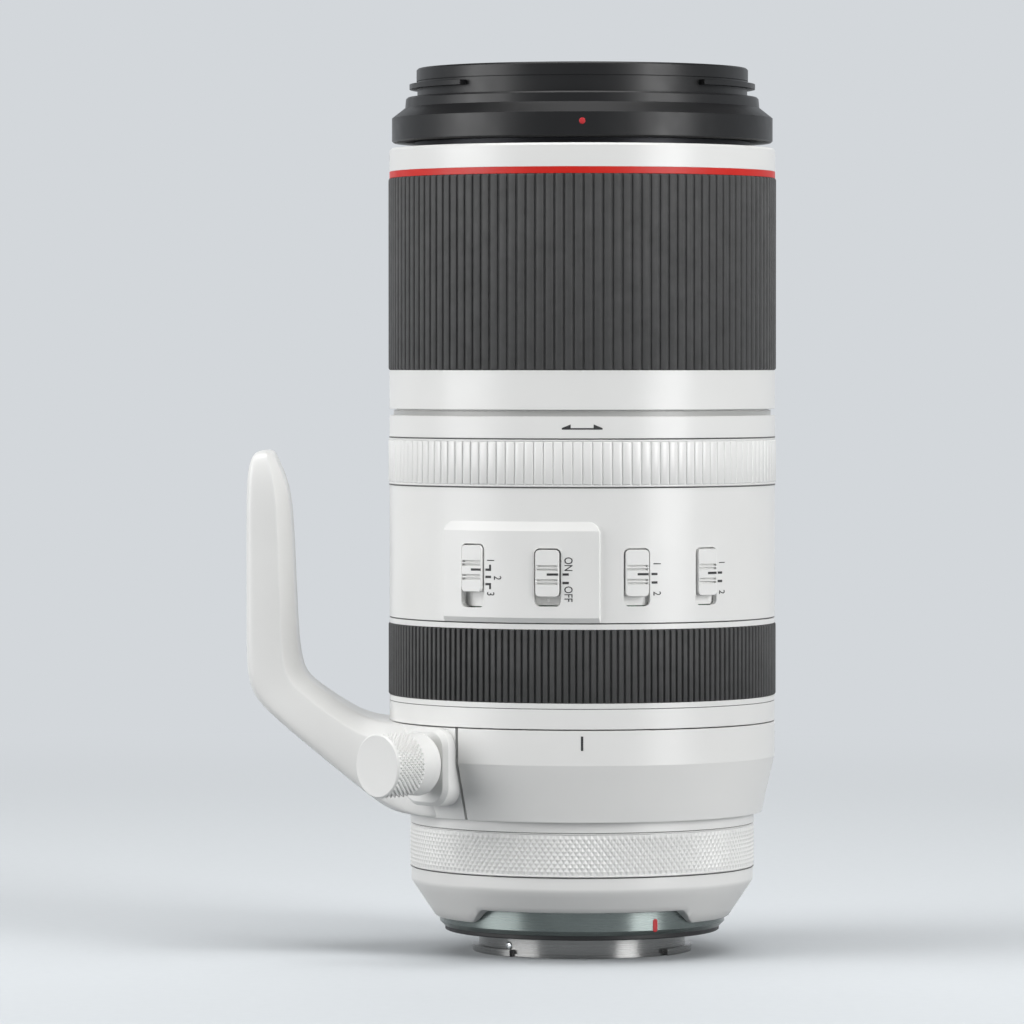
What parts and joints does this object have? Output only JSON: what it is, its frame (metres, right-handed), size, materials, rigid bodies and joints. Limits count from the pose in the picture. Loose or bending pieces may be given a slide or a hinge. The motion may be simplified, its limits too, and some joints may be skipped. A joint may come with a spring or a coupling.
{
  "type": "camera zoom lens",
  "caption": "White extending telephoto zoom lens with ribbed zoom and focus rings, slide switches, knurled control ring, bayonet mount and a rotating tripod collar with foot.",
  "frame": {"origin": "centre of the mount flange face, on the optical axis", "axes": "+Z along the optical axis towards the front glass, -Y towards the side with the switches, -X towards the tripod foot at rest"},
  "size_m": [0.1279, 0.0984, 0.2133],
  "materials": {
    "white_paint": "satin white paint on die-cast and turned alloy",
    "white_plastic": "satin white moulded plastic",
    "grip_rubber": "moulded ribbed rubber",
    "seal_rubber": "smooth black rubber",
    "red_enamel": "glossy red enamel",
    "black_nose": "satin black moulded plastic",
    "black_plastic": "matt black moulded plastic",
    "black_aluminium": "black anodised aluminium",
    "black_felt": "flocked felt",
    "mount_steel": "turned satin steel",
    "polished_steel": "ground steel",
    "gilt_brass": "turned and gilt brass",
    "circuit_board": "green solder resist",
    "optical_glass": "polished and coated glass"
  },
  "bodies": {
    "main_barrel": {"mount_bayonet": "mount_steel", "mount_seal": "seal_rubber", "contact_block": "black_plastic", "contact_pins": "gilt_brass", "rear_baffle": "black_plastic", "rear_cell": "black_aluminium", "rear_element": "optical_glass", "rear_cover": "white_paint", "rear_barrel": "white_paint", "control_detent": "polished_steel", "main_circuit_board": "circuit_board", "focus_rods": "polished_steel", "focus_motor": "black_plastic", "rod_plate": "black_aluminium", "stabiliser_unit": "black_plastic", "stabiliser_lens": "optical_glass", "guide_barrel": "black_aluminium", "switch_housing": "white_paint", "switch_board": "circuit_board", "label_band": "white_paint"},
    "zoom_ring": {"zoom_ring": "white_paint", "zoom_grip": "grip_rubber", "red_ring": "red_enamel", "front_band": "white_paint", "cam_barrel": "black_aluminium", "zoom_keys": "gilt_brass", "front_dust_seal": "black_felt"},
    "front_barrel": {"front_tube": "black_aluminium", "hood_mount": "black_nose", "front_cell": "black_aluminium", "front_retainer": "black_nose", "front_element": "optical_glass", "middle_element": "optical_glass", "inner_element": "optical_glass", "front_rollers": "gilt_brass"},
    "zoom_carrier": {"zoom_carrier": "black_plastic", "zoom_lens": "optical_glass", "carrier_rollers": "gilt_brass", "diaphragm_unit": "black_plastic"},
    "tension_ring": {"tension_ring": "white_paint", "brake_shoes": "black_felt"},
    "focus_ring": {"focus_ring": "white_paint", "focus_grip": "grip_rubber"},
    "control_ring": {"control_ring": "white_paint"},
    "collar": {"tripod_collar": "white_paint", "tripod_foot": "white_paint", "foot_bush": "polished_steel"},
    "clamp_knob": {"clamp_knob": "white_paint", "clamp_screw": "polished_steel"},
    "mode_switch": {"mode_switch": "white_plastic"},
    "stabiliser_switch": {"stabiliser_switch": "white_plastic"},
    "focus_mode_switch": {"focus_mode_switch": "white_plastic"},
    "range_switch": {"range_switch": "white_plastic"},
    "focus_carriage": {"focus_carriage": "black_plastic", "focus_lens": "optical_glass"}
  },
  "joints": [
    {"name": "zoom_turn", "type": "hinge", "parent": "main_barrel", "child": "zoom_ring", "pos_m": [0, 0, 0.15], "axis": [0, 0, 1], "range_deg": [0, 80]},
    {"name": "front_slide", "type": "slide", "parent": "main_barrel", "child": "front_barrel", "axis": [0, 0, 1], "range_m": [0, 0.083]},
    {"name": "carrier_slide", "type": "slide", "parent": "main_barrel", "child": "zoom_carrier", "axis": [0, 0, 1], "range_m": [0, 0.024]},
    {"name": "tension_turn", "type": "hinge", "parent": "main_barrel", "child": "tension_ring", "pos_m": [0, 0, 0.1126], "axis": [0, 0, 1], "range_deg": [0, 60]},
    {"name": "focus_turn", "type": "hinge", "parent": "main_barrel", "child": "focus_ring", "pos_m": [0, 0, 0.0648], "axis": [0, 0, 1], "continuous": true},
    {"name": "control_turn", "type": "hinge", "parent": "main_barrel", "child": "control_ring", "pos_m": [0, 0, 0.0199], "axis": [0, 0, 1], "continuous": true},
    {"name": "collar_turn", "type": "hinge", "parent": "main_barrel", "child": "collar", "pos_m": [0, 0, 0.0389], "axis": [0, 0, 1], "continuous": true},
    {"name": "clamp_turn", "type": "hinge", "parent": "collar", "child": "clamp_knob", "pos_m": [-0.0358, -0.03433, 0.04135], "axis": [-0.7218, -0.6921, 0], "range_deg": [0, 270]},
    {"name": "mode_slide", "type": "slide", "parent": "main_barrel", "child": "mode_switch", "axis": [0, 0, -1], "range_m": [0, 0.0034]},
    {"name": "stabiliser_slide", "type": "slide", "parent": "main_barrel", "child": "stabiliser_switch", "axis": [0, 0, -1], "range_m": [0, 0.002]},
    {"name": "focus_mode_slide", "type": "slide", "parent": "main_barrel", "child": "focus_mode_switch", "axis": [0, 0, -1], "range_m": [0, 0.002]},
    {"name": "range_slide", "type": "slide", "parent": "main_barrel", "child": "range_switch", "axis": [0, 0, -1], "range_m": [0, 0.002]},
    {"name": "focus_slide", "type": "slide", "parent": "main_barrel", "child": "focus_carriage", "axis": [0, 0, 1], "range_m": [-0.008, 0.011]}
  ],
  "couplings": [
    {"joint": "front_slide", "follows": "zoom_turn", "m_per_rad": 0.059444},
    {"joint": "carrier_slide", "follows": "zoom_turn", "m_per_rad": 0.017189}
  ]
}
